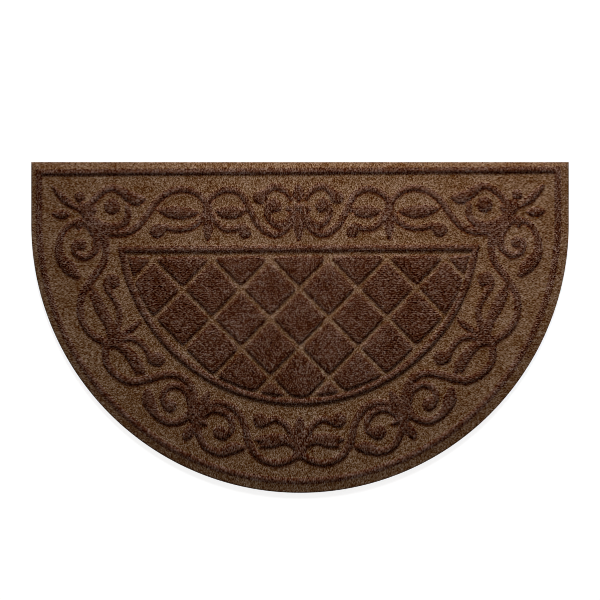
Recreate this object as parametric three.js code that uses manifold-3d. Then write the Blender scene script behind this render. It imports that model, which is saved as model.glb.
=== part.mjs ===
// Half-round doormat of needled pile, pressed in a heated mould, in millimetres.
// One piece of pile sheet: the mould flattens the ground and leaves the pattern standing.
// X runs along the straight door edge, Y towards the door, Z up. The underside lies on Z = 0.
import * as THREE from 'three';
import { mergeVertices } from 'three/addons/utils/BufferGeometryUtils.js';
import Module from 'manifold-3d';

// The cut sheet
const matWidth = 990.6;
const matDepth = 609.6;
const edgeHeight = 6;
const groundHeight = 6.2;
const reliefHeight = 3.3;
const topHeight = groundHeight + reliefHeight;
const rootHeight = groundHeight - 0.6;
const arcSteps = 26;

// The pressed pattern lies a little off the cut outline and is turned against it
const patternShift = -1.7;
const patternTurn = 0.3;

// The rim stands all round: steep on its inner side, sloping off to the cut edge outside
const rimInnerRadius = 472.2;
const rimInnerTop = 282.3;
const rimCentreY = 194.5;
const rimHeight = 9.1;
const rimInnerSlope = 5;
const rimOuterSlope = 13;

// The inner panel: a circle segment framed by a bead
const panelCentreY = 192.5;
const panelRadius = 335.6;
const panelTop = 151.2;
const beadWidth = 11.8;
const beadShoulder = 3.5;

// The diamond pads that fill the panel
const padsRadius = 320;
const padsTop = 131;
const padsShift = 1;
const diamondWidth = 107.6;
const diamondDepth = 109.3;
const topRowY = 125.8;
const rowCount = 6;
const diamondsEachSide = 4;
const groundLine = 8.6;
const padShoulder = 4;
const padCornerRadius = 6;
const padCornerSteps = 2;
const sharpTurn = 0.4;
const shortestEdge = 1.5;
const smallestPadArea = 260;

// The ornament band: every line tapers, stands to the same height and has sloped sides
const bandShift = 0.8;
const lineShoulder = 3;
const stepsPerSpan = 2;
const leafSteps = 6;
const leafFullness = 0.8;
const berrySides = 10;

const matRadius = matWidth / 2;
const doorEdgeY = matDepth / 2;
const arcCentreY = matRadius - doorEdgeY;

// Left half of the ornament, mirrored to the right. Each stem is a smooth line through its
// points, and each point is x, y and the half width there.
const stems = {
  cornerScroll: [[-343, 223, 7], [-333, 238, 6.5], [-317, 222, 6], [-322, 198, 6],
    [-345, 189, 6.5], [-374, 190, 8]],
  cornerArch: [[-380, 235, 4], [-364, 250, 5], [-342, 259, 6], [-319, 248, 7.5], [-301, 239, 10],
    [-287, 237, 4]],
  trunk: [[-394, 217, 6], [-387, 199, 7.5], [-368, 181, 9], [-357, 155, 7], [-361, 121, 6.5],
    [-383, 90, 7], [-402, 58, 6.5], [-404, 22, 6.5], [-388, -8, 6.5], [-357, -27, 7],
    [-334, -32, 7.5], [-317, -46, 9], [-305, -62, 10.5], [-300, -80, 5]],
  outerWave: [[-370, 181, 7], [-340, 173.5, 6.5], [-308, 179, 6.5], [-282, 204, 6],
    [-261, 233, 6], [-236, 250, 6], [-208, 253.5, 6], [-184, 243, 5.5], [-168, 221, 5]],
  innerWave: [[-170, 226, 5], [-156, 243, 5.5], [-130, 253, 6], [-106, 243.5, 6], [-90, 216, 6],
    [-74, 187, 6], [-46, 170, 6.5], [-21, 182, 6], [-8, 212, 5]],
  lowerScroll: [[-402, 158, 6], [-414, 154, 6], [-413, 138, 6], [-395, 130, 6],
    [-375, 146, 6.5], [-378, 174, 7], [-393, 192, 6]],
  cornerFrond: [[-400, 196, 5], [-425, 189, 5.5], [-442, 162, 6], [-442, 132, 9],
    [-425, 111, 12.5], [-410, 95, 6]],
  middleScroll: [[-46, 232, 6], [-56, 222, 6], [-56, 202, 6], [-40, 188, 6.5],
    [-23, 192, 6], [-12, 206, 5]],
  middleArch: [[-14, 235, 3.5], [-25, 250, 5.5], [-44, 258.5, 6.5], [-60, 248, 6.5], [-71, 239, 9]],
  outerTendril: [[-168, 219, 5], [-180, 198, 5.5], [-202, 183, 5.5], [-228, 180.5, 5.5],
    [-248, 184, 6], [-260, 179, 9]],
  innerTendril: [[-168, 218, 5], [-155, 196, 5.5], [-138, 181, 5.5], [-120, 180, 5.5],
    [-104, 185, 6], [-99, 178, 8]],
  sideLeaf: [[-384, 61, 3], [-373, 45, 9.5], [-361, 24, 10], [-352, 4, 8], [-348, -16, 7]],
  sideCurl: [[-345, -22, 7], [-335, 6, 6], [-333, 34, 5.5], [-346, 59, 5.5], [-357, 78, 5.5],
    [-350, 94, 5.5], [-338, 91, 5]],
  sideTendril: [[-342, -25, 6], [-318, -19, 6], [-296, -25, 5.5], [-281, -43, 5.5], [-274, -58, 7]],
  lowerWave: [[-357, -30, 7], [-358, -60, 6.5], [-343, -83, 6.5], [-311, -99, 7], [-275, -93, 7],
    [-240, -85.5, 6.5], [-212, -94, 7], [-197, -120, 7.5], [-198, -148, 7.5], [-196, -168, 6]],
  arcFrond: [[-200, -152, 7], [-214, -168, 6.5], [-241, -174, 6.5], [-266, -159, 7.5],
    [-279, -134, 12], [-281, -118, 7]],
  arcScroll: [[-247, -141, 6], [-253, -127, 6], [-244, -111, 6], [-226, -107, 6],
    [-209, -119, 6], [-201, -138, 6.5]],
  lastWave: [[-197, -168, 6], [-178, -149, 6], [-150, -139, 6.5], [-122, -148, 6.5],
    [-103, -176, 6.5], [-95, -208, 6.5], [-79, -236, 6.5], [-46, -250, 6.5], [-18, -244, 6.5],
    [2, -232, 6.5]],
  lastScroll: [[-142, -199, 7], [-127, -190, 6], [-127, -170, 6], [-142, -155, 6],
    [-162, -152, 6], [-180, -162, 6]],
  lastFrond: [[-194, -168, 6], [-188, -192, 6.5], [-174, -219, 6.5], [-147, -230, 7.5],
    [-124, -222, 11], [-105, -221, 5]],
  footTendril: [[-70, -174, 9], [-60, -174, 6], [-45, -169, 6], [-27, -178, 6],
    [-12, -199, 6], [2, -223, 6]],
  footLeaf: [[-80, -206, 3], [-66, -207, 8.5], [-48, -207.5, 12], [-30, -207, 9.5],
    [-16, -213, 7.5], [2, -228, 7]],
};

// Leaves and buds are pointed at both ends: where their line starts and ends, how far its
// middle bows to the left, and the half width at the belly.
const leaves = [
  { from: [-449, 260], to: [-412, 225], bow: -4, belly: 6 },
  { from: [-456, 214], to: [-420, 207], bow: -2, belly: 6 },
  { from: [-262, 217], to: [-183, 212], bow: -4, belly: 12 },
  { from: [-154, 214], to: [-97, 215], bow: -4, belly: 12 },
  { from: [-386, 76], to: [-366, 48], bow: 1, belly: 4.5 },
  { from: [-332, -12], to: [-291, 16], bow: -3, belly: 6 },
  { from: [-300, -54], to: [-288, -88], bow: 1, belly: 5.5 },
  { from: [-186, -151], to: [-167, -112], bow: -1, belly: 7.5 },
  { from: [-75, -219], to: [-36, -211], bow: 0, belly: 6.5 },
  { from: [-401, 258], to: [-401, 233], bow: 0, belly: 8.5 },
  { from: [-168, 208], to: [-168, 158], bow: 0, belly: 8.5 },
  { from: [-407, 202], to: [-407, 180], bow: 0, belly: 6 },
  { from: [-196, -166], to: [-170, -180], bow: 1, belly: 6 },
  { from: [-196, -178], to: [-214, -206], bow: 0, belly: 9.5 },
];

// Buds on the middle line, not mirrored
const middleBuds = [
  { from: [0, 262], to: [0, 231], bow: 0, belly: 9.5 },
  { from: [0, 208], to: [0, 157], bow: 0, belly: 8.5 },
  { from: [0, -163], to: [0, -204], bow: 0, belly: 9 },
];

// Round berries, mirrored
const berries = [
  { x: -342, y: 223, radius: 12.5 },
  { x: -299, y: 238, radius: 11 },
  { x: -402, y: 152, radius: 8.5 },
  { x: -400, y: 221, radius: 7.5 },
  { x: -377, y: 218, radius: 6 },
  { x: -262, y: 176.5, radius: 13 },
  { x: -99, y: 173.5, radius: 10.5 },
  { x: -42, y: 221.5, radius: 11 },
  { x: -72, y: 237.5, radius: 11 },
  { x: -18, y: 217, radius: 5.5 },
  { x: -4, y: 220, radius: 6 },
  { x: -342, y: 83, radius: 10 },
  { x: -262, y: -58, radius: 13.5 },
  { x: -241, y: -146, radius: 10 },
  { x: -148, y: -193, radius: 12.5 },
  { x: -74, y: -170.5, radius: 12.5 },
];

const wasm = await Module();
wasm.setup();

// A closed three.js geometry as a solid that can be joined and cut
function toSolid(geometry) {
  const bare = geometry.clone();
  bare.deleteAttribute('normal');
  bare.deleteAttribute('uv');
  const merged = mergeVertices(bare, 1e-4);
  const vertProperties = new Float32Array(merged.attributes.position.array);
  const triVerts = new Uint32Array(merged.index.array);
  return new wasm.Manifold(new wasm.Mesh({ numProp: 3, vertProperties, triVerts }));
}

// And back again
function toGeometry(solid) {
  const mesh = solid.getMesh();
  const geometry = new THREE.BufferGeometry();
  geometry.setAttribute('position', new THREE.BufferAttribute(new Float32Array(mesh.vertProperties), 3));
  geometry.setIndex(new THREE.BufferAttribute(new Uint32Array(mesh.triVerts), 1));
  geometry.computeVertexNormals();
  return geometry;
}

// A half round: straight top edge, short straight sides and the half circle below them
function halfRound(radius, top, centreY) {
  const shape = new THREE.Shape();
  shape.moveTo(-radius, top);
  shape.lineTo(-radius, centreY);
  shape.absarc(0, centreY, radius, Math.PI, 2 * Math.PI, false);
  shape.lineTo(radius, top);
  shape.closePath();
  return shape;
}

// A circle segment below a straight chord
function segment(radius, top) {
  const rise = Math.asin((top - panelCentreY) / radius);
  const shape = new THREE.Shape();
  shape.absarc(0, panelCentreY, radius, Math.PI - rise, 2 * Math.PI + rise, false);
  shape.closePath();
  return shape;
}

// A flat plate on a level, whose upper rim slopes in by a shoulder
function plate(shape, level, top, shoulder, shoulderHeight, curveSegments) {
  const geometry = new THREE.ExtrudeGeometry(shape, {
    depth: top - level - shoulderHeight,
    curveSegments,
    bevelEnabled: true,
    bevelSegments: 1,
    bevelSize: shoulder,
    bevelOffset: -shoulder,
    bevelThickness: shoulderHeight,
  });
  geometry.translate(0, 0, level);
  const below = new THREE.BoxGeometry(2 * matWidth, 2 * matWidth, 2 * shoulderHeight);
  below.translate(0, 0, level - shoulderHeight);
  return toSolid(geometry).subtract(toSolid(below));
}

// Everything the mould presses is turned and shifted against the cut outline
function pressedDown(solid) {
  const geometry = toGeometry(solid);
  geometry.rotateZ(THREE.MathUtils.degToRad(patternTurn));
  geometry.translate(patternShift, 0, 0);
  return toSolid(geometry);
}

// What the mould flattens inside the rim, wider at the top than on the ground
function basin() {
  const depth = topHeight - groundHeight;
  const brim = halfRound(rimInnerRadius + rimInnerSlope, rimInnerTop + rimInnerSlope, rimCentreY);
  const upsideDown = plate(brim, 0, depth + 1, rimInnerSlope, depth, arcSteps);
  const geometry = toGeometry(upsideDown);
  geometry.rotateY(Math.PI);
  geometry.translate(0, 0, groundHeight + depth + 1);
  return toSolid(geometry);
}

// The cut sheet with its rim
function pressedSheet() {
  const outline = halfRound(matRadius, doorEdgeY, arcCentreY);
  const sheet = plate(outline, 0, rimHeight, rimOuterSlope, rimHeight - edgeHeight, arcSteps);
  return sheet.subtract(pressedDown(basin()));
}

function panelBead() {
  const outer = segment(panelRadius, panelTop);
  outer.holes.push(segment(panelRadius - beadWidth, panelTop - beadWidth));
  return plate(outer, rootHeight, topHeight, beadShoulder, reliefHeight, arcSteps);
}

// The part of a convex outline on the inner side of each edge of another
function clipOutline(points, clip) {
  let kept = points;
  clip.forEach((a, i) => {
    const b = clip[(i + 1) % clip.length];
    const side = (p) => (b.x - a.x) * (p.y - a.y) - (b.y - a.y) * (p.x - a.x);
    const next = [];
    kept.forEach((p, j) => {
      const q = kept[(j + 1) % kept.length];
      if (side(p) >= 0) next.push(p);
      if (side(p) * side(q) < 0) next.push(p.clone().lerp(q, side(p) / (side(p) - side(q))));
    });
    kept = next;
  });
  return kept.filter((p, i) => p.distanceTo(kept[(i + 1) % kept.length]) > shortestEdge);
}

// A convex outline whose sharp corners are rounded
function roundedShape(points, radius) {
  const shape = new THREE.Shape();
  points.forEach((corner, i) => {
    const before = points[(i + points.length - 1) % points.length];
    const after = points[(i + 1) % points.length];
    const inwards = corner.clone().sub(before);
    const outwards = after.clone().sub(corner);
    const isSharp = inwards.angleTo(outwards) > sharpTurn;
    const reach = isSharp ? Math.min(radius, inwards.length() / 2.2, outwards.length() / 2.2) : 0;
    const start = corner.clone().addScaledVector(inwards.normalize(), -reach);
    const end = corner.clone().addScaledVector(outwards.normalize(), reach);
    if (i === 0) shape.moveTo(start.x, start.y);
    else shape.lineTo(start.x, start.y);
    if (isSharp) shape.quadraticCurveTo(corner.x, corner.y, end.x, end.y);
  });
  shape.closePath();
  return shape;
}

// A pad stands on its outline and draws in towards its middle at the top
function pad(points) {
  const shape = roundedShape(points, padCornerRadius);
  const depth = topHeight - rootHeight;
  const settings = { depth, curveSegments: padCornerSteps, bevelEnabled: false };
  const geometry = new THREE.ExtrudeGeometry(shape, settings);
  const middle = new THREE.Vector2();
  points.forEach((point) => middle.addScaledVector(point, 1 / points.length));
  const position = geometry.attributes.position;
  for (let i = 0; i < position.count; i += 1) {
    if (position.getZ(i) < depth / 2) continue;
    const corner = new THREE.Vector2(position.getX(i), position.getY(i));
    corner.addScaledVector(middle.clone().sub(corner).normalize(), padShoulder);
    position.setXY(i, corner.x, corner.y);
  }
  geometry.translate(0, 0, rootHeight);
  return toSolid(geometry);
}

// The diamond pads of the panel, cut off along its bead
function diamondPads() {
  const clip = segment(padsRadius, padsTop).getPoints(arcSteps);
  const cornerInset = groundLine / Math.SQRT2;
  const halfWidth = diamondWidth / 2 - cornerInset;
  const halfDepth = diamondDepth / 2 - cornerInset;
  const pads = [];
  for (let row = 0; row < rowCount; row += 1) {
    const y = topRowY - (row * diamondDepth) / 2;
    for (let column = -diamondsEachSide; column <= diamondsEachSide; column += 1) {
      const x = padsShift + (column + (row % 2) / 2) * diamondWidth;
      const corners = [
        new THREE.Vector2(x + halfWidth, y),
        new THREE.Vector2(x, y + halfDepth),
        new THREE.Vector2(x - halfWidth, y),
        new THREE.Vector2(x, y - halfDepth),
      ];
      const outline = clipOutline(corners, clip);
      if (outline.length < 3 || THREE.ShapeUtils.area(outline) < smallestPadArea) continue;
      pads.push(pad(outline));
    }
  }
  return pads;
}

// A low ridge: a sphere drawn out along rows of a line. Each row has its middle, the two
// directions to its sides and the half width; the first and last rows are points.
function ridge(rows) {
  const corners = 6;
  const geometry = new THREE.SphereGeometry(1, corners, rows.length - 1);
  rows.forEach(({ middle, left, right, half }, r) => {
    const isTip = r === 0 || r === rows.length - 1;
    const flat = half - Math.min(lineShoulder, half * 0.6);
    const rise = reliefHeight * Math.min(1, half / (lineShoulder + 1));
    const ring = [
      [right, half, groundHeight],
      [right, flat, groundHeight + rise],
      [left, flat, groundHeight + rise],
      [left, half, groundHeight],
      [left, flat, rootHeight],
      [right, flat, rootHeight],
    ];
    for (let i = 0; i <= corners; i += 1) {
      const [direction, reach, z] = ring[isTip ? 0 : i % corners];
      const point = middle.clone().addScaledVector(direction, reach);
      geometry.attributes.position.setXYZ(r * (corners + 1) + i, point.x, point.y, z);
    }
  });
  return toSolid(geometry);
}

// A stem follows a smooth line through its points, whose third number is the half width
function stem(points) {
  const line = new THREE.CatmullRomCurve3(points.map((p) => new THREE.Vector3(...p)), false, 'centripetal');
  const steps = stepsPerSpan * (points.length - 1);
  const rows = [];
  for (let i = 0; i <= steps; i += 1) {
    const at = line.getPoint(i / steps);
    const tangent = line.getTangent(i / steps);
    const left = new THREE.Vector2(-tangent.y, tangent.x).normalize();
    rows.push({ middle: new THREE.Vector2(at.x, at.y), left, right: left.clone().negate(), half: at.z });
  }
  const first = rows[0];
  const last = rows[steps];
  const back = new THREE.Vector2(-first.left.y, first.left.x);
  const ahead = new THREE.Vector2(last.left.y, -last.left.x);
  return ridge([{ ...first, right: back }, ...rows, { ...last, right: ahead }]);
}

// A leaf or bud swells between two tips
function leaf({ from, to, bow, belly }) {
  const start = new THREE.Vector2(...from);
  const end = new THREE.Vector2(...to);
  const along = end.clone().sub(start).normalize();
  const left = new THREE.Vector2(-along.y, along.x);
  const control = start.clone().lerp(end, 0.5).addScaledVector(left, 2 * bow);
  const line = new THREE.QuadraticBezierCurve(start, control, end);
  const rows = [];
  for (let i = 0; i <= leafSteps; i += 1) {
    const share = i / leafSteps;
    const half = belly * Math.sin(Math.PI * share) ** leafFullness;
    const tangent = line.getTangent(share);
    const side = new THREE.Vector2(-tangent.y, tangent.x);
    rows.push({ middle: line.getPoint(share), left: side, right: side.clone().negate(), half });
  }
  rows[0].half = 0;
  rows[leafSteps].half = 0;
  return ridge(rows);
}

// A berry is a low round pad
function berry({ x, y, radius }) {
  const rootDepth = groundHeight - rootHeight;
  const foot = new THREE.CylinderGeometry(radius, radius, rootDepth, berrySides);
  foot.rotateX(Math.PI / 2);
  foot.translate(x, y, groundHeight - rootDepth / 2);
  const crown = new THREE.CylinderGeometry(radius - lineShoulder, radius, reliefHeight, berrySides);
  crown.rotateX(Math.PI / 2);
  crown.translate(x, y, groundHeight + reliefHeight / 2);
  return toSolid(foot).add(toSolid(crown));
}

// One side of the band, where the charted half is the left one
function ornamentSide(side) {
  const pieces = [];
  const place = ([x, y]) => [side * x, y + bandShift];
  Object.values(stems).forEach((points) => {
    pieces.push(stem(points.map((point) => [...place(point), point[2]])));
  });
  leaves.forEach(({ from, to, bow, belly }) => {
    pieces.push(leaf({ from: place(from), to: place(to), bow: side * bow, belly }));
  });
  berries.forEach(({ x, y, radius }) => {
    const [berryX, berryY] = place([x, y]);
    pieces.push(berry({ x: berryX, y: berryY, radius }));
  });
  return pieces;
}

// All lines, leaves and berries of the band
function ornament() {
  const place = ([x, y]) => [x, y + bandShift];
  const buds = middleBuds.map(({ from, to, bow, belly }) => {
    return leaf({ from: place(from), to: place(to), bow, belly });
  });
  return [...buds, ...ornamentSide(1), ...ornamentSide(-1)];
}

function pressedPattern() {
  const pieces = [panelBead(), ...diamondPads(), ...ornament()];
  return pressedDown(pieces.reduce((joined, piece) => joined.add(piece)));
}

const pile = new THREE.MeshStandardMaterial({ color: 0x5c4230, roughness: 0.95, metalness: 0 });
const mat = new THREE.Mesh(toGeometry(pressedSheet().add(pressedPattern())), pile);
mat.name = 'mat';

const group = new THREE.Group();
group.add(mat);
export default group;
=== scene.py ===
import math

import bpy
import numpy as np
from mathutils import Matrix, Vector
from mathutils.geometry import delaunay_2d_cdt


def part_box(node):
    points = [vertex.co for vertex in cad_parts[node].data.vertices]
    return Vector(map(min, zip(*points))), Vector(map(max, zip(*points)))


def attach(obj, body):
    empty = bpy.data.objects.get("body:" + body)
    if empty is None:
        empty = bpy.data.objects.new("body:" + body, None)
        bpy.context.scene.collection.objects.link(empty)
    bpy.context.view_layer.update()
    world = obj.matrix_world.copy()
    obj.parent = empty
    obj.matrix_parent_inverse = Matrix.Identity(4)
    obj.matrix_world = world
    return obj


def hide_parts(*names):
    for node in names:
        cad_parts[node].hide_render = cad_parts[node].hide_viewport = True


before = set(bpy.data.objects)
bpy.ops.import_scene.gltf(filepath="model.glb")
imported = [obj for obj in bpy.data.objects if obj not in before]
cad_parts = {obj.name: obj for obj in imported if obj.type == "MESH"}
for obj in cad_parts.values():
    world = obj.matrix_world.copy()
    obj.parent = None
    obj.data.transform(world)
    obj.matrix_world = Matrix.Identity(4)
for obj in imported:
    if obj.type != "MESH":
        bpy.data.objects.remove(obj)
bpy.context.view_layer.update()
print("frame loaded")

# The plan is worked out in millimetres, as the mat was measured, and its mesh is made in metres
mm = 0.001
low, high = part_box("mat")

matPlan = {
    "width": (high.x - low.x) / mm,
    "depth": (high.y - low.y) / mm,
    "ground": 6.2,         # height of the pressed ground
    "relief": 3.4,         # how far the pile stands over the ground
    "rimRelief": 3.5,
    "cutRounding": 1.6,    # the pile at the cut edge is rounded over this,
    "cutDrop": 0.7,        # and ends this much lower
    "nub": 0.03,           # how unevenly the yarn ends lie, up and down
    "rib": 0.12,           # of the needled rows, over what stands
    "ribPitch": 3.692,     # from one needled row to the next
    "ribStart": 51.52,     # one crest lies here
    "calm": 0.3,           # share of nub and rib that foot lines and the cut edge keep
    "onFoot": 0.2,
    "onEdge": 0.3,
    "farFromForm": 12.0,   # how far a point lies inside or outside a form is told up to here
}

# The mesh in millimetres. Its rows lie on the crests and in the troughs of the needled rows.
meshPlan = {
    "rowPitch": 1.846,
    "stitch": 2.87,        # along a row
    "strayAlong": 0.35,
    "strayAcross": 0.12,
    "footSpacing": 2.2,    # along the foot lines
    "shortestFoot": 8.8,   # a foot line shorter than this is only a ripple
    "footFromEdge": 1.0,
    "clearance": 1.15,     # no other point comes nearer to a foot line
    "sideLevels": (2.6, 1.0, 0.0),   # heights of the rings down the cut side
    "sideInset": 0.9995,   # their size against the top's edge
    "sideFray": 0.08,
    "backGrid": 30.0,
    "seed": 7,
}

matRadius = matPlan["width"] / 2
doorEdge = matPlan["depth"] / 2
arcCentre = matRadius - doorEdge

# The press set the pattern down a little off the cut outline and turned against it
pattern = {"shift": -1.7, "turn": math.radians(0.3)}

# The rim climbs fast from the band to its crest, then rolls off to the cut edge
rim = {
    "radius": 472.2,
    "top": 282.3,
    "centre": 194.5,
    "climb": 6.5,
    "standing": 11.0,      # how much of it is standing pile
    "rollOff": 1.4,
    "steepness": 2.4,
}

panelBead = {
    "width": 11.8,
    "radius": 335.6,
    "centre": 192.5,
    "top": 151.2,
    "steepness": 2.4,
    "height": 1.14,        # of the relief
}

pads = {
    "width": 107.6,
    "depth": 109.3,
    "topRow": 125.8,
    "shift": 1.0,
    "groundLine": 7.6,     # pressed ground between two pads
    "radius": 320.0,       # the panel's pads end here,
    "top": 131.0,          # and here towards the door
    "wall": 1.8,           # a pad climbs steeply this far in, and gently over its shoulder
    "wallShare": 0.5,
    "wallSteepness": 2.0,
    "height": 1.15,        # of the relief
    "shoulder": 13.0,
    "cornerBlend": 7.0,
    "steepness": 2.2,
    "smallest": 260.0,     # square millimetres, smaller ones aren't there
}

# Left half of the ornament in millimetres, mirrored to the right: x, y and half width
stems = {
    "cornerScroll": [(-317, 222, 4), (-315, 207, 6), (-323, 193, 6.5), (-337, 187, 6.5),
                     (-352, 186, 7), (-374, 190, 8)],
    "cornerArch": [(-397, 222, 6), (-384, 229, 6), (-373, 241, 6), (-359, 252, 6), (-343, 257, 6.5),
                   (-327, 250, 8), (-312, 240, 10.5), (-299, 235, 11), (-286, 236, 4)],
    "trunk": [(-396, 217, 8), (-387, 201, 9.5), (-369, 183, 11), (-357, 155, 7), (-361, 121, 6.5),
              (-383, 90, 7), (-402, 58, 6.5), (-404, 22, 6.5), (-388, -8, 6.5), (-357, -27, 7),
              (-334, -32, 7.5), (-317, -46, 9), (-305, -62, 10.5), (-300, -80, 5)],
    "outerWave": [(-370, 181, 7), (-340, 173.5, 6.5), (-308, 179, 6.5), (-282, 204, 6),
                  (-261, 233, 6), (-236, 250, 6), (-208, 253.5, 6), (-184, 243, 5.5), (-168, 221, 5)],
    "innerWave": [(-170, 226, 5), (-156, 243, 5.5), (-130, 253, 6), (-106, 243.5, 6), (-90, 216, 6),
                  (-74, 187, 6), (-46, 170, 6.5), (-21, 182, 6), (-8, 212, 5)],
    "lowerScroll": [(-402, 158, 6), (-414, 154, 6), (-413, 138, 6), (-395, 130, 6),
                    (-375, 146, 6.5), (-378, 174, 7), (-393, 192, 6)],
    "cornerFrond": [(-400, 196, 5), (-425, 189, 5.5), (-442, 162, 6), (-442, 132, 9),
                    (-425, 111, 12.5), (-410, 95, 6)],
    "middleScroll": [(-46, 232, 6), (-56, 222, 6), (-56, 202, 6), (-40, 188, 6.5),
                     (-23, 192, 6), (-12, 206, 5)],
    "middleArch": [(-14, 235, 3.5), (-25, 250, 5.5), (-44, 258.5, 6.5), (-60, 248, 6.5), (-71, 239, 9)],
    "outerTendril": [(-168, 219, 5), (-180, 198, 5.5), (-202, 183, 5.5), (-228, 180.5, 5.5),
                     (-248, 184, 6), (-260, 179, 9)],
    "innerTendril": [(-168, 218, 5), (-155, 196, 5.5), (-138, 181, 5.5), (-120, 180, 5.5),
                     (-104, 185, 6), (-99, 178, 8)],
    "sideLeaf": [(-384, 61, 3), (-373, 45, 9.5), (-361, 24, 10), (-352, 4, 8), (-348, -16, 7)],
    "sideCurl": [(-345, -22, 7), (-335, 6, 6), (-333, 34, 5.5), (-346, 59, 5.5), (-357, 78, 5.5),
                 (-350, 94, 5.5), (-338, 91, 5)],
    "sideTendril": [(-342, -25, 6), (-318, -19, 6), (-296, -25, 5.5), (-281, -43, 5.5), (-274, -58, 7)],
    "lowerWave": [(-357, -30, 7), (-358, -60, 6.5), (-343, -83, 6.5), (-311, -99, 7), (-275, -93, 7),
                  (-240, -85.5, 6.5), (-212, -94, 7), (-197, -120, 7.5), (-198, -148, 7.5),
                  (-196, -168, 6)],
    "arcFrond": [(-200, -152, 7), (-214, -168, 6.5), (-241, -174, 6.5), (-266, -159, 7.5),
                 (-279, -134, 12), (-281, -118, 7)],
    "arcScroll": [(-247, -141, 6), (-253, -127, 6), (-244, -111, 6), (-226, -107, 6),
                  (-209, -119, 6), (-201, -138, 6.5)],
    "lastWave": [(-197, -168, 6), (-178, -149, 6), (-150, -139, 6.5), (-122, -148, 6.5),
                 (-103, -176, 6.5), (-95, -208, 6.5), (-79, -236, 6.5), (-46, -250, 6.5),
                 (-18, -244, 6.5), (2, -232, 6.5)],
    "lastScroll": [(-142, -199, 7), (-127, -190, 6), (-127, -170, 6), (-142, -155, 6),
                   (-162, -152, 6), (-180, -162, 6)],
    "lastFrond": [(-194, -168, 6), (-188, -192, 6.5), (-174, -219, 6.5), (-147, -230, 7.5),
                  (-124, -222, 11), (-105, -221, 5)],
    "footTendril": [(-70, -174, 9), (-60, -174, 6), (-45, -169, 6), (-27, -178, 6),
                    (-12, -199, 6), (2, -223, 6)],
    "footLeaf": [(-80, -206, 3), (-66, -207, 8.5), (-48, -207.5, 12), (-30, -207, 9.5),
                 (-16, -213, 7.5), (2, -228, 7)],
}

# Leaves and buds: both tips, how far the middle bows to the left, and the half width there
leaves = [
    {"start": (-456, 262), "end": (-405, 217), "bow": -4, "belly": 7.5},
    {"start": (-457, 211), "end": (-422, 209), "bow": -1, "belly": 8.5},
    {"start": (-262, 217), "end": (-183, 212), "bow": -4, "belly": 12},
    {"start": (-154, 214), "end": (-97, 215), "bow": -4, "belly": 12},
    {"start": (-386, 76), "end": (-366, 48), "bow": 1, "belly": 4.5},
    {"start": (-332, -12), "end": (-291, 16), "bow": -3, "belly": 6},
    {"start": (-300, -54), "end": (-288, -88), "bow": 1, "belly": 5.5},
    {"start": (-187, -154), "end": (-168, -116), "bow": -1, "belly": 8.5},
    {"start": (-75, -219), "end": (-36, -211), "bow": 0, "belly": 6.5},
    {"start": (-168, 208), "end": (-168, 158), "bow": 0, "belly": 8.5},
    {"start": (-407, 202), "end": (-407, 180), "bow": 0, "belly": 6},
    {"start": (-196, -166), "end": (-170, -180), "bow": 1, "belly": 6},
    {"start": (-196, -178), "end": (-214, -206), "bow": 0, "belly": 9.5},
]
middleBuds = [
    {"start": (0, 262), "end": (0, 231), "bow": 0, "belly": 9.5},
    {"start": (0, 208), "end": (0, 157), "bow": 0, "belly": 8.5},
    {"start": (0, -163), "end": (0, -204), "bow": 0, "belly": 9},
]
# Berries: x, y and radius
berries = [
    (-345, 223, 14.5), (-402, 152, 8.5), (-400, 219, 8), (-391, 218, 5), (-380, 217, 7), (-405, 241, 9.5),
    (-262, 176.5, 13), (-99, 173.5, 10.5), (-42, 221.5, 11), (-72, 237.5, 11), (-18, 217, 5.5),
    (-4, 220, 6), (-342, 83, 10), (-262, -58, 13.5), (-240, -143, 12.5), (-148, -193, 12.5),
    (-74, -170.5, 12.5),
]


# A smooth line through charted points, close to evenly spaced, with the half width as third number
def stemLine(points, stepsPerSpan=7):
    p = np.array(points, float)
    p = np.vstack([2 * p[0] - p[1], p, 2 * p[-1] - p[-2]])
    line = []
    for i in range(1, len(p) - 2):
        q = p[i - 1:i + 3]
        knot = np.concatenate([[0], np.cumsum(np.sqrt(np.linalg.norm(np.diff(q, axis=0), axis=1)))])
        for t in np.linspace(knot[1], knot[2], stepsPerSpan, endpoint=False):
            r, k = q, knot
            for level in (1, 2):
                r = np.array([((k[j + level] - t) * r[j] + (t - k[j]) * r[j + 1]) / (k[j + level] - k[j])
                              for j in range(len(r) - 1)])
            line.append(((knot[2] - t) * r[0] + (t - knot[1]) * r[1]) / (knot[2] - knot[1]))
    line.append(p[-2])
    return np.array(line)


# A leaf's middle line, fullest at its belly
def leafLine(leaf, steps=14, fullness=0.8):
    start, end = np.array(leaf["start"], float), np.array(leaf["end"], float)
    along = (end - start) / np.linalg.norm(end - start)
    control = (start + end) / 2 + 2 * leaf["bow"] * np.array([-along[1], along[0]])
    t = np.linspace(0, 1, steps)[:, None]
    middle = (1 - t) ** 2 * start + 2 * t * (1 - t) * control + t * t * end
    return np.hstack([middle, leaf["belly"] * np.sin(np.pi * t) ** fullness])


# Every line of the band, both halves. A berry is a line too short to show.
def ornamentLines(dot=0.01):
    half = [stemLine(points) for points in stems.values()]
    half += [leafLine(leaf) for leaf in leaves]
    half += [np.array([[x, y, radius], [x + dot, y, radius]], float) for x, y, radius in berries]
    mirrored = [line * [-1, 1, 1] for line in half]
    return half + mirrored + [leafLine(bud) for bud in middleBuds]


# The band lies a little towards the door from where it was charted, and is narrower and deeper
band = {
    "shift": 0.8,
    "wide": 0.995,
    "deep": 1.004,
    "blend": 6.0,          # lines nearer than this run together
    "halfWidth": 7.0,      # of a common line
    "steepness": 2.2,
}
bandLines = [line * [band["wide"], band["deep"], 1] + [0, band["shift"], 0] for line in ornamentLines()]


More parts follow.
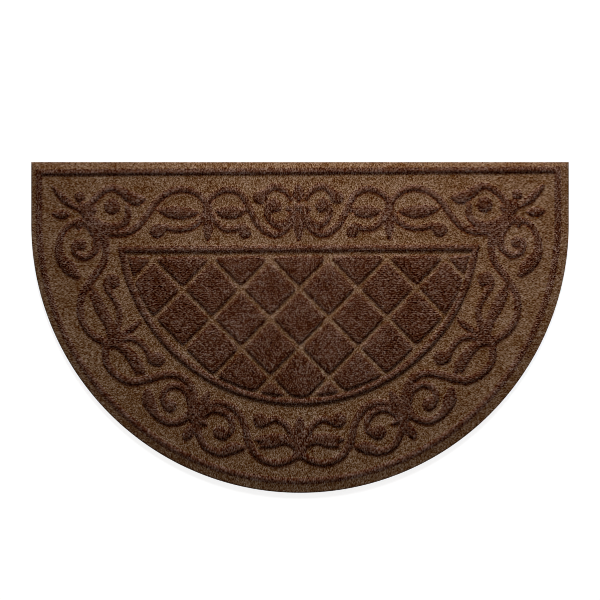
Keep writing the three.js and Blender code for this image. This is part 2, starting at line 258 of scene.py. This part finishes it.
# How the side of a raised form climbs, from 0 at its foot to 1 at its top
def climb(share, power):
    return (1 - (1 - np.clip(share, 0, 1)) ** power) ** (1 / power)


# The lesser of two distances, with the corner between them rounded
def blendedLesser(a, b, blend):
    overlap = np.maximum(blend - np.abs(a - b), 0) / blend
    return np.minimum(a, b) - overlap ** 2 * blend / 4


# How deep a point lies inside a line with width, below 0 outside, and what share of its half width that is
def lineRelief(x, y, line, thinnest=0.01):
    start, along = line[:-1], np.diff(line, axis=0)
    dx, dy = x[:, None] - start[:, 0], y[:, None] - start[:, 1]
    squared = along[:, 0] ** 2 + along[:, 1] ** 2
    t = np.clip((dx * along[:, 0] + dy * along[:, 1]) / squared, 0, 1)
    distance = np.hypot(dx - t * along[:, 0], dy - t * along[:, 1])
    half = np.maximum(start[:, 2] + t * along[:, 2], thinnest)
    depth = half - distance
    return depth.max(1), (depth / half).max(1)


# Pile frays, so the edge of what stands wavers by a part of a millimetre, in waves that don't repeat
fray = {
    "reach": 0.25,
    "alongX": 1.9,
    "alongY": 1.7,
    "slanting": 3.1,
    "bend": 2.0,
    "bendX": 4.7,
    "bendY": 5.3,
}


def waver(x, y):
    alongX = np.sin(x / fray["alongX"] + fray["bend"] * np.sin(y / fray["bendY"]))
    alongY = np.sin(y / fray["alongY"] + fray["bend"] * np.sin(x / fray["bendX"]))
    return alongX + alongY + np.sin((x + y) / fray["slanting"])


# Every form gives how deep a point lies in it, below 0 outside, and its height as a share of the relief.
# Lines that meet run together, so a notch between them is filled a little.
def bandRelief(x, y, farDepth=-50.0, farShare=-9.0):
    depth, share = np.full(len(x), farDepth), np.full(len(x), farShare)
    for line in bandLines:
        lowX, lowY = (line[:, :2] - line[:, 2:]).min(0) - band["blend"]
        highX, highY = (line[:, :2] + line[:, 2:]).max(0) + band["blend"]
        near = np.flatnonzero((x > lowX) & (x < highX) & (y > lowY) & (y < highY))
        if len(near):
            d, s = lineRelief(x[near], y[near], line)
            depth[near] = -blendedLesser(-depth[near], -d, band["blend"])
            share[near] = -blendedLesser(-share[near], -s, band["blend"] / band["halfWidth"])
    frayed = fray["reach"] * waver(x, y)
    return depth + frayed, climb(share + frayed / band["halfWidth"], band["steepness"])


def insideHalfRound(x, y, radius, top, centre):
    side = np.where(y > centre, radius - np.abs(x), radius - np.hypot(x, y - centre))
    return np.minimum(side, top - y)


def insidePanel(x, y, radius, top):
    return np.minimum(radius - np.hypot(x, y - panelBead["centre"]), top - y)


def panelBeadRelief(x, y):
    wide = panelBead["width"]
    outer = insidePanel(x, y, panelBead["radius"], panelBead["top"])
    inner = insidePanel(x, y, panelBead["radius"] - wide, panelBead["top"] - wide)
    depth = np.minimum(outer, -inner)
    return depth, panelBead["height"] * climb(2 * depth / wide, panelBead["steepness"])


def rimRelief(x, y, toCut, least=0.1):
    out = -insideHalfRound(x, y, rim["radius"], rim["top"], rim["centre"])
    depth = np.minimum(out, rim["standing"] - out)
    past = np.maximum(out - rim["climb"], 0)
    share = past / np.maximum(past + np.maximum(toCut, 0), least)
    height = climb(out / rim["climb"], rim["steepness"]) * (1 - share) ** rim["rollOff"]
    return depth, height * matPlan["rimRelief"] / matPlan["relief"]


# Each diamond has a column and a row number along the two slants of the lattice
def diamondCell(x, y):
    u = (x - pads["shift"]) / pads["width"] + (y - pads["topRow"]) / pads["depth"]
    v = (x - pads["shift"]) / pads["width"] - (y - pads["topRow"]) / pads["depth"]
    return u, v, np.rint(u), np.rint(v)


def padRelief(x, y, missing=()):
    u, v, cellU, cellV = diamondCell(x, y)
    slant = 1 / math.hypot(1 / pads["width"], 1 / pads["depth"])
    toU = (0.5 - np.abs(u - cellU)) * slant - pads["groundLine"] / 2
    toV = (0.5 - np.abs(v - cellV)) * slant - pads["groundLine"] / 2
    depth = blendedLesser(toU, toV, pads["cornerBlend"])
    clip = insidePanel(x, y, pads["radius"], pads["top"])
    depth = blendedLesser(depth, clip, pads["cornerBlend"])
    for cell in missing:
        depth = np.where((cellU == cell[0]) & (cellV == cell[1]), -pads["groundLine"] / 2, depth)
    gentle = climb(depth / pads["shoulder"], pads["steepness"])
    rise = gentle + pads["wallShare"] * (climb(depth / pads["wall"], pads["wallSteepness"]) - gentle)
    return depth, pads["height"] * rise


# Diamonds that the panel's bead cuts down to slivers aren't pressed at all
def missingPads(step=2.0):
    radius = panelBead["radius"]
    across = np.arange(-radius, radius, step)
    deep = np.arange(arcCentre - radius, panelBead["top"], step)
    x, y = (grid.ravel() for grid in np.meshgrid(across, deep))
    depth, _ = padRelief(x, y)
    _, _, cellU, cellV = diamondCell(x, y)
    cells, counts = np.unique(np.c_[cellU, cellV][depth > 0], axis=0, return_counts=True)
    return [tuple(cell) for cell, count in zip(cells, counts) if count * step * step < pads["smallest"]]


sliverPads = missingPads()


def insideOutline(x, y):
    return insideHalfRound(x, y, matRadius, doorEdge, arcCentre)


# Where a point of the mat lies in the pressed pattern
def inPattern(x, y):
    turn = pattern["turn"]
    shifted = x - pattern["shift"]
    return math.cos(turn) * shifted + math.sin(turn) * y, math.cos(turn) * y - math.sin(turn) * shifted


def relief(x, y):
    px, py = inPattern(x, y)
    parts = [bandRelief(px, py), panelBeadRelief(px, py), padRelief(px, py, sliverPads),
             rimRelief(px, py, insideOutline(x, y))]
    return np.max([p[0] for p in parts], axis=0), np.max([p[1] for p in parts], axis=0)


# Staggered rows of points over the whole sheet, and the triangles between them
def stitchRows():
    rows = round(matPlan["depth"] / meshPlan["rowPitch"]) + 1
    columns = round(matPlan["width"] / meshPlan["stitch"]) + 2
    x = np.arange(columns) * meshPlan["stitch"] - matRadius
    x = np.tile(x, (rows, 1)) - meshPlan["stitch"] / 2
    x[1::2] += meshPlan["stitch"] / 2
    y = np.repeat(np.linspace(-doorEdge, doorEdge, rows)[:, None], columns, 1)
    index = np.arange(rows * columns).reshape(rows, columns)
    a, b, c, d = index[:-1, :-1], index[:-1, 1:], index[1:, :-1], index[1:, 1:]
    even = np.arange(rows - 1)[:, None] % 2 == 0
    first = np.where(even[..., None], np.stack([a, b, c], 2), np.stack([a, d, c], 2))
    second = np.where(even[..., None], np.stack([c, b, d], 2), np.stack([a, b, d], 2))
    return x.ravel(), y.ravel(), np.vstack([first.reshape(-1, 3), second.reshape(-1, 3)])


# Moves points along the slope of the depth until they stand on a foot line
def ontoFoot(x, y, rounds=2, step=0.15, gentlest=0.5):
    for _ in range(rounds):
        here, _ = relief(x, y)
        slopeX = (relief(x + step, y)[0] - here) / step
        slopeY = (relief(x, y + step)[0] - here) / step
        steep = np.maximum(slopeX ** 2 + slopeY ** 2, gentlest)
        x, y = x - here * slopeX / steep, y - here * slopeY / steep
    return x, y


def evenlySpaced(loop, spacing, fewest=6):
    closed = np.vstack([loop, loop[:1]])
    along = np.concatenate([[0], np.cumsum(np.linalg.norm(np.diff(closed, axis=0), axis=1))])
    count = max(fewest, round(along[-1] / spacing))
    at = np.linspace(0, along[-1], count, endpoint=False)
    return np.c_[np.interp(at, along, closed[:, 0]), np.interp(at, along, closed[:, 1])]


# The closed lines where raised forms meet the ground, walked from triangle to triangle
def footLines(x, y, triangles, depth):
    raised = depth > 0
    corners = raised[triangles]
    cut = triangles[corners.any(1) & ~corners.all(1)]
    pairs = np.stack([cut, np.roll(cut, -1, axis=1)], 2)
    crosses = raised[pairs[..., 0]] != raised[pairs[..., 1]]
    ends = np.sort(pairs[crosses], axis=1)
    keys, number = np.unique(ends[:, 0].astype(np.int64) * len(x) + ends[:, 1], return_inverse=True)
    start, end = keys // len(x), keys % len(x)
    share = depth[start] / (depth[start] - depth[end])
    px, py = ontoFoot(x[start] + share * (x[end] - x[start]), y[start] + share * (y[end] - y[start]))
    beside = [[] for _ in keys]
    for one, other in number.reshape(-1, 2):
        beside[one].append(other)
        beside[other].append(one)
    loops, seen = [], np.zeros(len(keys), bool)
    for first in range(len(keys)):
        if seen[first]:
            continue
        chain, at = [], first
        while at is not None:
            seen[at] = True
            chain.append(at)
            at = next((n for n in beside[at] if not seen[n]), None)
        loop = np.c_[px[chain], py[chain]]
        length = np.linalg.norm(np.diff(loop, axis=0), axis=1).sum()
        if length > meshPlan["shortestFoot"]:
            loops.append(evenlySpaced(loop, meshPlan["footSpacing"]))
    return loops


# The cut outline, walked once round
def outlineLoop(spacing):
    arc = np.pi * matRadius
    angles = np.linspace(np.pi, 2 * np.pi, round(arc / spacing) + 1)
    bottom = np.c_[matRadius * np.cos(angles), arcCentre + matRadius * np.sin(angles)]
    sideCount = round((doorEdge - arcCentre) / spacing)
    rising = np.linspace(arcCentre, doorEdge, sideCount + 1)[1:]
    right = np.c_[np.full(sideCount, matRadius), rising]
    topCount = round(matPlan["width"] / spacing)
    top = np.c_[np.linspace(matRadius, -matRadius, topCount + 1)[1:], np.full(topCount, doorEdge)]
    left = np.c_[np.full(sideCount - 1, -matRadius), rising[::-1][1:]]
    return np.vstack([bottom, right, top, left])


# Triangles inside the first loop, over all loops and the loose points. The loops' edges are kept.
def triangulate(loops, loose, insideOnly=1, nearest=1e-5):
    points = np.vstack(loops + [loose])
    edges, start = [], 0
    for loop in loops:
        n = len(loop)
        edges += [(start + i, start + (i + 1) % n) for i in range(n)]
        start += n
    flat, _, faces, sources, _, _ = delaunay_2d_cdt(
        [Vector(p) for p in points.tolist()], edges, [], insideOnly, nearest)
    found = np.zeros(len(loops[0]), int)
    for at, source in enumerate(sources):
        for s in source:
            if s < len(found):
                found[s] = at
    return np.array([tuple(p) for p in flat]), np.array(faces), found


def sheetHeight(x, y, rise):
    cut = np.clip(insideOutline(x, y) / matPlan["cutRounding"], 0, 1)
    return matPlan["ground"] - matPlan["cutDrop"] * (1 - cut) ** 2 + matPlan["relief"] * rise


# How steeply a form's side faces the door, down to -1 where it faces away
def facingDoor(x, y, step=0.8):
    ahead, behind = (relief(x, y + offset)[1] for offset in (step, -step))
    return ((behind - ahead) * matPlan["relief"] / (2 * step)).clip(-1, 1)


# The light comes in low over the door edge, so each form has a lee, its cast shadow, where the pile's
# colour is given a painted shadow tint
lee = {
    "slope": 0.45,         # of the light's line
    "reaches": (1.5, 3.0, 4.5, 6.0),
    "full": 1.2,           # this far under the line the lee is deepest
    "atEdges": 0.25,       # it is fainter on the rim and the panel, and
    "near": 7.0,           # this close to them
}


def leeDepth(x, y, rise):
    over = [(relief(x, y + t)[1] - rise) * matPlan["relief"] - t * lee["slope"] for t in lee["reaches"]]
    deep = (np.max(over, axis=0) / lee["full"]).clip(0, 1)
    px, py = inPattern(x, y)
    toPanel = -insidePanel(px, py, panelBead["radius"], panelBead["top"])
    toRim = insideHalfRound(px, py, rim["radius"], rim["top"], rim["centre"])
    return deep * np.where(np.minimum(toPanel, toRim) < lee["near"], lee["atEdges"], 1.0)


# The pressed top: points, triangles, which points are the edge's, and what the pile's material reads
def pressedTop(edge, rng):
    x, y, triangles = stitchRows()
    depth, _ = relief(x, y)
    loops = footLines(x, y, triangles, depth)
    loops = [loop for loop in loops if insideOutline(*loop.T).min() > meshPlan["footFromEdge"]]
    print("foot lines", len(loops), "with", sum(map(len, loops)), "points")

    apart = (np.abs(depth) > meshPlan["clearance"]) & (insideOutline(x, y) > meshPlan["clearance"])
    strayX = rng.normal(0, meshPlan["strayAlong"], len(x))
    strayY = rng.normal(0, meshPlan["strayAcross"], len(x))
    loose = np.c_[x + strayX, y + strayY][apart]
    flat, faces, edgeAt = triangulate([edge] + loops, loose)

    x, y = flat.T
    depth, rise = relief(x, y)
    inPad, _ = padRelief(*inPattern(x, y), sliverPads)
    far = matPlan["farFromForm"]
    fields = {
        "depthInForm": depth.clip(-far, far),
        "facesDoor": facingDoor(x, y),
        # how deep a point lies in a form's cast shadow, for the painted shadow tint
        "paintedShadowInLee": leeDepth(x, y, rise),
        "inPad": inPad.clip(0, 1),
    }
    calm = (np.abs(depth) < matPlan["onFoot"]) | (insideOutline(x, y) < matPlan["onEdge"])
    nubs = rng.normal(0, 1, len(x)).clip(-2, 2)
    ribs = np.cos(2 * np.pi * (y - matPlan["ribStart"]) / matPlan["ribPitch"])
    rough = np.where(calm, matPlan["calm"], 1.0)
    z = sheetHeight(x, y, rise) + rough * (matPlan["nub"] * nubs + matPlan["rib"] * rise * ribs)
    return np.c_[x, y, z], faces, edgeAt, fields


# The cut side ring by ring, and the flat back. Their points are numbered on from the top's.
def sideAndBack(edge, edgeAt, start, rng):
    count = len(edge)
    rings = []
    for level in meshPlan["sideLevels"]:
        frayed = edge * meshPlan["sideInset"] + rng.normal(0, meshPlan["sideFray"], (count, 2))
        rings.append(np.c_[frayed, np.full(count, level)])
    grid = np.arange(-matRadius, matRadius, meshPlan["backGrid"])
    x, y = (a.ravel() for a in np.meshgrid(grid, grid))
    inner = insideOutline(x, y) > meshPlan["backGrid"] / 3
    backFlat, backFaces, backEdge = triangulate([rings[-1][:, :2]], np.c_[x, y][inner])
    vertices = np.vstack(rings[:-1] + [np.c_[backFlat, np.zeros(len(backFlat))]])

    backStart = start + (len(rings) - 1) * count
    levels = [edgeAt] + [start + i * count + np.arange(count) for i in range(len(rings) - 1)]
    levels.append(backStart + backEdge)
    after = np.roll(np.arange(count), -1)
    sides = []
    for upper, lower in zip(levels, levels[1:]):
        sides.append(np.c_[upper, lower, lower[after]])
        sides.append(np.c_[upper, lower[after], upper[after]])
    return vertices, sides, backStart + backFaces[:, ::-1]


# One closed sheet. Of its cut side the uppermost ring is pile, and the rest is backing.
def pressedSheet():
    rng = np.random.default_rng(meshPlan["seed"])
    edge = outlineLoop(meshPlan["stitch"])
    top, topFaces, edgeAt, fields = pressedTop(edge, rng)
    below, sides, back = sideAndBack(edge, edgeAt, len(top), rng)
    vertices = np.vstack([top, below])
    faces = np.vstack([topFaces] + sides + [back])

    mesh = bpy.data.meshes.new("pressedMat")
    mesh.from_pydata((vertices * mm).tolist(), [], faces.tolist())
    elsewhere = {"depthInForm": -matPlan["farFromForm"]}
    for name, values in fields.items():
        every = np.full(len(vertices), elsewhere.get(name, 0.0))
        every[:len(top)] = values
        mesh.attributes.new(name, "FLOAT", "POINT").data.foreach_set("value", every)
    backing = np.zeros(len(faces), np.int32)
    backing[len(topFaces) + 2 * len(sides[0]):] = 1
    mesh.polygons.foreach_set("material_index", backing)
    mesh.polygons.foreach_set("use_smooth", np.ones(len(faces), bool))
    mesh.validate()
    mesh.update()
    mat = bpy.data.objects.new("pressedMat", mesh)
    bpy.context.scene.collection.objects.link(mat)
    print("sheet", len(vertices), "points,", len(faces), "triangles")
    return mat


# Small helpers for shader trees
def newMaterial(name):
    material = bpy.data.materials.new(name)
    material.use_nodes = True
    tree = material.node_tree
    tree.nodes.clear()
    return material, tree


def addNode(tree, kind, inputs=None, **settings):
    node = tree.nodes.new(kind)
    for key, value in settings.items():
        setattr(node, key, value)
    for key, value in (inputs or {}).items():
        if isinstance(value, bpy.types.NodeSocket):
            tree.links.new(value, node.inputs[key])
        else:
            node.inputs[key].default_value = value
    return node


def mathNode(tree, operation, a, b=0.0):
    return addNode(tree, "ShaderNodeMath", {0: a, 1: b}, operation=operation).outputs[0]


def ramp(tree, factor, stops):
    node = addNode(tree, "ShaderNodeValToRGB", {"Fac": factor})
    elements = node.color_ramp.elements
    while len(elements) < len(stops):
        elements.new(0.5)
    for element, (place, colour) in zip(elements, stops):
        element.position = place
        element.color = (*colour, 1)
    return node.outputs["Color"]


def mixColour(tree, factor, a, b, blend="MIX"):
    node = addNode(tree, "ShaderNodeMix", data_type="RGBA", blend_type=blend)
    for socket, value in zip((node.inputs[0], node.inputs[6], node.inputs[7]), (factor, a, b)):
        if isinstance(value, bpy.types.NodeSocket):
            tree.links.new(value, socket)
        else:
            socket.default_value = value
    return node.outputs[2]


def mapRange(tree, value, fromLow, fromHigh, toLow=0.0, toHigh=1.0, kind="SMOOTHSTEP"):
    return addNode(tree, "ShaderNodeMapRange", {
        "Value": value, "From Min": fromLow, "From Max": fromHigh, "To Min": toLow, "To Max": toHigh},
        interpolation_type=kind).outputs[0]


def noise(tree, place, size, detail):
    return addNode(tree, "ShaderNodeTexNoise", {
        "Vector": place, "Scale": 1 / size, "Detail": detail}).outputs["Fac"]


def attribute(tree, name):
    return addNode(tree, "ShaderNodeAttribute", attribute_name=name).outputs["Fac"]


def bumpNormal(tree, height, strength, distance):
    return addNode(tree, "ShaderNodeBump", {
        "Height": height, "Strength": strength, "Distance": distance}).outputs["Normal"]


def finishMaterial(tree, inputs):
    shader = addNode(tree, "ShaderNodeBsdfPrincipled", inputs)
    output = addNode(tree, "ShaderNodeOutputMaterial")
    tree.links.new(shader.outputs[0], output.inputs["Surface"])


pileLook = {
    "pitch": 1.846 * mm,     # yarn ends stand in rows this far apart
    "firstRow": 50.6 * mm,
    "jitter": 0.14,          # how far a yarn end strays from its place
    "fibre": {"size": 0.5 * mm, "detail": 2.0, "shade": 0.03},
    "clumps": {"size": 8 * mm, "detail": 1.0, "shade": 0.012},
    "patches": {"size": 45 * mm, "detail": 4.0, "shade": 0.025},
    "noiseRange": (0.3, 0.7),
    "standFrom": -1.6,       # pile starts to stand here beside a form's edge, in millimetres,
    "standFull": 0.6,        # and stands upright from here inwards
    "fray": 1.2,             # that edge shifts by half as much either way, yarn by yarn
    "groundLevel": 0.323,    # of red on the screen, as all levels are
    "standLevel": 0.243,
    "padLevel": -0.015,      # added on the broad pads, where the pile is densest
    "leastLevel": 0.06,
    "groundSpread": 0.155,   # between light and dark yarns
    "standSpread": 0.168,
    # painted light and shade: the needled rows' crests are lighter and their troughs darker by this much
    "rows": 0.02,
    "paintedTipLight": 0.02,      # painted light, added in the middle of a yarn end,
    "paintedGapShade": -0.05,        # and painted shade, between yarn ends
    "gapStart": 0.2,
    "gapEnd": 0.7,
    # green and blue lie below red, furthest on the darkest yarns
    "green": {"slope": 1.15, "ground": -0.132, "stand": -0.12, "least": 0.02},
    "blue": {"slope": 1.25, "ground": -0.234, "stand": -0.186, "least": 0.005},
    "screenGamma": 2.2,
    "gain": 1.07,            # sets the levels against the studio's light
    "paintedDoorLight": 0.04,             # painted light: a side that faces the lamp over the door is this much lighter, and one facing away this much darker
    "paintedDoorSlope": 0.3,
    "paintedShadowTint": (1.6, 1.0, 0.72, 1),   # painted shadow colour: in a form's lee the colour is made redder
    "bump": 0.25,
    "bumpHeight": 0.8 * mm,
    "fibreBump": 0.5,
    "roughness": 1.0,
}


# The yarn ends: how far a point is from the middle of its yarn, and three random draws for each yarn
def yarnEnds(tree, place):
    centred = (0.5 + pileLook["jitter"] / 2) * pileLook["pitch"]
    inRows = addNode(tree, "ShaderNodeMapping", {
        "Vector": place, "Location": (centred, centred - pileLook["firstRow"], 0)}).outputs[0]
    yarns = addNode(tree, "ShaderNodeTexVoronoi", {
        "Vector": inRows, "Scale": 1 / pileLook["pitch"], "Randomness": pileLook["jitter"]},
        voronoi_dimensions="2D")
    draws = addNode(tree, "ShaderNodeSeparateColor", {"Color": yarns.outputs["Color"]}).outputs
    return yarns.outputs["Distance"], draws


# The needled rows of standing pile, as crests and troughs along Y, painted lighter on the crests and darker
# in the troughs
def needledRows(tree, place):
    y = addNode(tree, "ShaderNodeSeparateXYZ", {"Vector": place}).outputs["Y"]
    phase = mathNode(tree, "MULTIPLY_ADD", y, 2 * math.pi / (matPlan["ribPitch"] * mm))
    phase.node.inputs[2].default_value = -2 * math.pi * matPlan["ribStart"] / matPlan["ribPitch"]
    return mathNode(tree, "MULTIPLY", mathNode(tree, "COSINE", phase), pileLook["rows"])


# How light the pile is. Each yarn end is lighter or darker than the rest, with painted light in its middle
# and painted shade in the gap around it.
def pileLevel(tree, place, fibres, fromYarn, draws, upright):
    two = mathNode(tree, "SUBTRACT", mathNode(tree, "ADD", draws[0], draws[1]), 1.0)
    spread = mapRange(tree, upright, 0, 1, pileLook["groundSpread"], pileLook["standSpread"], "LINEAR")
    level = mathNode(tree, "MULTIPLY", two, spread)
    fields = {"fibre": fibres}
    for name in ("clumps", "patches"):
        fields[name] = noise(tree, place, pileLook[name]["size"], pileLook[name]["detail"])
    for name, field in fields.items():
        shade = pileLook[name]["shade"]
        part = mapRange(tree, field, *pileLook["noiseRange"], -shade, shade, "LINEAR")
        level = mathNode(tree, "ADD", level, part)
    gapShade = mapRange(tree, fromYarn, pileLook["gapStart"], pileLook["gapEnd"],
                   pileLook["paintedTipLight"], pileLook["paintedGapShade"])
    level = mathNode(tree, "ADD", level, gapShade)

    # pressed pile is the lighter, and only standing pile shows its needled rows, as painted light on their
    # crests and painted shade in their troughs
    standing = mapRange(tree, upright, 0, 1, pileLook["groundLevel"], pileLook["standLevel"], "LINEAR")
    level = mathNode(tree, "ADD", level, standing)
    onPads = mathNode(tree, "MULTIPLY", attribute(tree, "inPad"), pileLook["padLevel"])
    level = mathNode(tree, "ADD", level, onPads)
    return mathNode(tree, "ADD", level, mathNode(tree, "MULTIPLY", needledRows(tree, place), upright))


# Tan-brown on the ground and red-brown where the pile stands
def pileColour(tree, level, upright):
    channels = {"Red": mathNode(tree, "MAXIMUM", level, pileLook["leastLevel"])}
    for channel in ("green", "blue"):
        look = pileLook[channel]
        offset = mapRange(tree, upright, 0, 1, look["ground"], look["stand"], "LINEAR")
        lower = mathNode(tree, "ADD", mathNode(tree, "MULTIPLY", level, look["slope"]), offset)
        channels[channel.title()] = mathNode(tree, "MAXIMUM", lower, look["least"])
    onScreen = addNode(tree, "ShaderNodeCombineColor", channels).outputs[0]
    colour = addNode(tree, "ShaderNodeGamma", {
        "Color": onScreen, "Gamma": pileLook["screenGamma"]}).outputs[0]
    return mixColour(tree, 1.0, colour, (pileLook["gain"],) * 3 + (1,), "MULTIPLY")


def pileMaterial():
    material, tree = newMaterial("needledPile")
    place = addNode(tree, "ShaderNodeTexCoord").outputs["Object"]
    fromYarn, draws = yarnEnds(tree, place)
    fibres = noise(tree, place, pileLook["fibre"]["size"], pileLook["fibre"]["detail"])

    # from pressed, 0, to upright, 1, with an edge that frays from yarn to yarn
    frayed = mathNode(tree, "MULTIPLY", mathNode(tree, "SUBTRACT", draws[2], 0.5), pileLook["fray"])
    inForm = mathNode(tree, "ADD", attribute(tree, "depthInForm"), frayed)
    upright = mapRange(tree, inForm, pileLook["standFrom"], pileLook["standFull"])
    level = pileLevel(tree, place, fibres, fromYarn, draws, upright)
    colour = pileColour(tree, level, upright)

    # painted light and shade: a side that faces the lamp over the door is made lighter and one facing away
    # darker, and a form's cast shadow, its lee, is painted redder
    brightest = 1 + pileLook["paintedDoorLight"]
    paintedDoorLight = mapRange(tree, attribute(tree, "facesDoor"), -pileLook["paintedDoorSlope"], pileLook["paintedDoorSlope"],
                   1 / brightest, brightest)
    colour = mixColour(tree, 1.0, colour, paintedDoorLight, "MULTIPLY")
    tinted = mixColour(tree, 1.0, colour, pileLook["paintedShadowTint"], "MULTIPLY")
    colour = mixColour(tree, attribute(tree, "paintedShadowInLee"), colour, tinted)

    dome = mathNode(tree, "SUBTRACT", 1.0, fromYarn)
    height = mathNode(tree, "ADD", dome, mathNode(tree, "MULTIPLY", fibres, pileLook["fibreBump"]))
    normal = bumpNormal(tree, height, pileLook["bump"], pileLook["bumpHeight"])
    finishMaterial(tree, {
        "Base Color": colour, "Normal": normal, "Roughness": pileLook["roughness"],
        "Specular IOR Level": 0.0})
    return material


backingLook = {
    "fineness": 900.0,
    "dark": (0.016, 0.011, 0.008),
    "light": (0.045, 0.032, 0.024),
    "bump": 0.4,
    "bumpHeight": 0.5 * mm,
    "roughness": 0.9,
    "specular": 0.2,
}


def backingMaterial():
    material, tree = newMaterial("backingFelt")
    place = addNode(tree, "ShaderNodeTexCoord").outputs["Object"]
    felt = addNode(tree, "ShaderNodeTexNoise", {
        "Vector": place, "Scale": backingLook["fineness"], "Detail": 3.0}).outputs["Fac"]
    colour = ramp(tree, felt, [(0.3, backingLook["dark"]), (0.7, backingLook["light"])])
    normal = bumpNormal(tree, felt, backingLook["bump"], backingLook["bumpHeight"])
    finishMaterial(tree, {
        "Base Color": colour, "Normal": normal, "Roughness": backingLook["roughness"],
        "Specular IOR Level": backingLook["specular"]})
    return material


mat = pressedSheet()
mat.data.materials.append(pileMaterial())
mat.data.materials.append(backingMaterial())
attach(mat, "root")
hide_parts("mat")
print("mat dressed")

studio = {
    "floorSize": 14.0,
    "floorBelow": 0.0002,
    "floorColour": (0.3, 0.3, 0.3, 1),
    "floorGlow": 0.84,       # a lit table, as goods are photographed on
    "keyPlace": (-0.05, 2.4, 1.12),
    "keyAim": (0.36, 0, 0),
    "keySpread": math.radians(100),
    "keySize": (0.8, 0.8),
    "keyPower": 51.0,
    "fillPlace": (0.15, 0.2, 3.3),
    "fillSpread": math.radians(14),
    "fillSize": (0.9, 0.1),
    "fillPower": 0.36,
    "worldColour": (1, 0.92, 0.86, 1),   # as warm as light that has passed through the pile
    "worldStrength": 0.2,
    "cameraHeight": 3.0,
    "cameraAim": 0.0506,     # the photo's middle lies this far from the mat's towards the door
    "frameWidth": 1.1077,    # what the photo's frame spans on the floor
    "sensor": 36.0,
    "pixelFilter": 1.0,      # crisp, as the photo's grain is
}


def studioFloor():
    bpy.ops.object.select_all(action="DESELECT")
    bpy.ops.mesh.primitive_plane_add(size=studio["floorSize"], location=(0, 0, -studio["floorBelow"]))
    floor = bpy.context.object
    floor.name = "studioFloor"
    material, tree = newMaterial("paleFloor")
    finishMaterial(tree, {
        "Base Color": studio["floorColour"], "Roughness": 0.8, "Specular IOR Level": 0.2,
        "Emission Color": (1, 1, 1, 1), "Emission Strength": studio["floorGlow"]})
    floor.data.materials.append(material)


def areaLight(role):
    bpy.ops.object.light_add(type="AREA", location=studio[role + "Place"])
    light = bpy.context.object
    light.name = role + "Light"
    light.data.shape = "RECTANGLE"
    light.data.size, light.data.size_y = studio[role + "Size"]
    light.data.energy = studio[role + "Power"]
    light.data.spread = studio[role + "Spread"]
    return light


# The key comes in low over the door edge. A weak strip straight above lifts the right side.
def studioLight():
    key = areaLight("key")
    aim = Vector(studio["keyAim"]) - key.location
    key.rotation_euler = aim.to_track_quat("-Z", "Y").to_euler()
    areaLight("fill")
    world = bpy.data.worlds.new("studio")
    world.use_nodes = True
    background = world.node_tree.nodes["Background"]
    background.inputs["Color"].default_value = studio["worldColour"]
    background.inputs["Strength"].default_value = studio["worldStrength"]
    bpy.context.scene.world = world


def studioCamera():
    bpy.ops.object.camera_add(location=(0, studio["cameraAim"], studio["cameraHeight"]), rotation=(0, 0, 0))
    camera = bpy.context.object
    camera.name = "photoCamera"
    camera.data.sensor_width = studio["sensor"]
    camera.data.lens = studio["sensor"] * studio["cameraHeight"] / studio["frameWidth"]
    bpy.context.scene.camera = camera
    bpy.context.scene.view_settings.view_transform = "Standard"
    bpy.context.scene.cycles.filter_width = studio["pixelFilter"]


studioFloor()
studioLight()
studioCamera()
print("studio ready")
